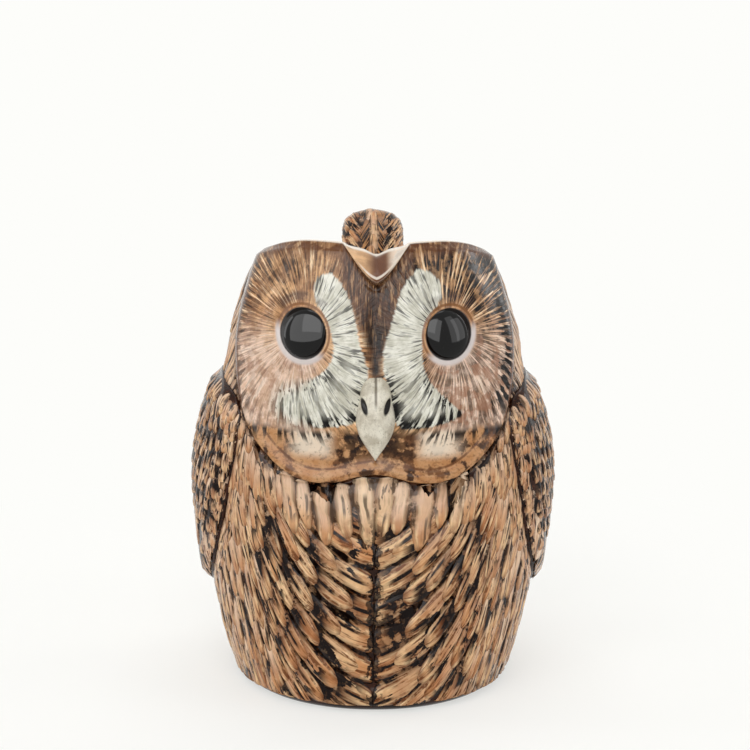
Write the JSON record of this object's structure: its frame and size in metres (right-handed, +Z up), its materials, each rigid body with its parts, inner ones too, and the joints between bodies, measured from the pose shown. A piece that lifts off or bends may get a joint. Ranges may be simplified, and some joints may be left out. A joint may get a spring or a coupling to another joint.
{
  "type": "owl pitcher",
  "caption": "Glazed earthenware pitcher moulded as a sitting owl, with a facial disc, a rolled pouring lip, relief wings and a strap handle at the back.",
  "frame": {"origin": "on the surface the jug stands on, under the middle of its outline seen from above", "axes": "+Z up from the foot to the rim, -Y the way the owl's face and the pouring lip point, +Y towards the handle, +X towards the owl's left wing"},
  "size_m": [0.1098, 0.1276, 0.1346],
  "materials": {
    "body": "glossy painted and glazed earthenware",
    "handle": "glossy painted and glazed earthenware",
    "wing": "glossy painted and glazed earthenware",
    "tail": "glossy painted and glazed earthenware",
    "beak": "glossy off-white glaze",
    "eye": "glossy black glaze"
  },
  "bodies": {
    "root": {"body": "body", "handle": "handle", "beak": "beak", "left_eye": "eye", "right_eye": "eye", "left_wing": "wing", "right_wing": "wing", "tail": "tail"}
  },
  "joints": []
}
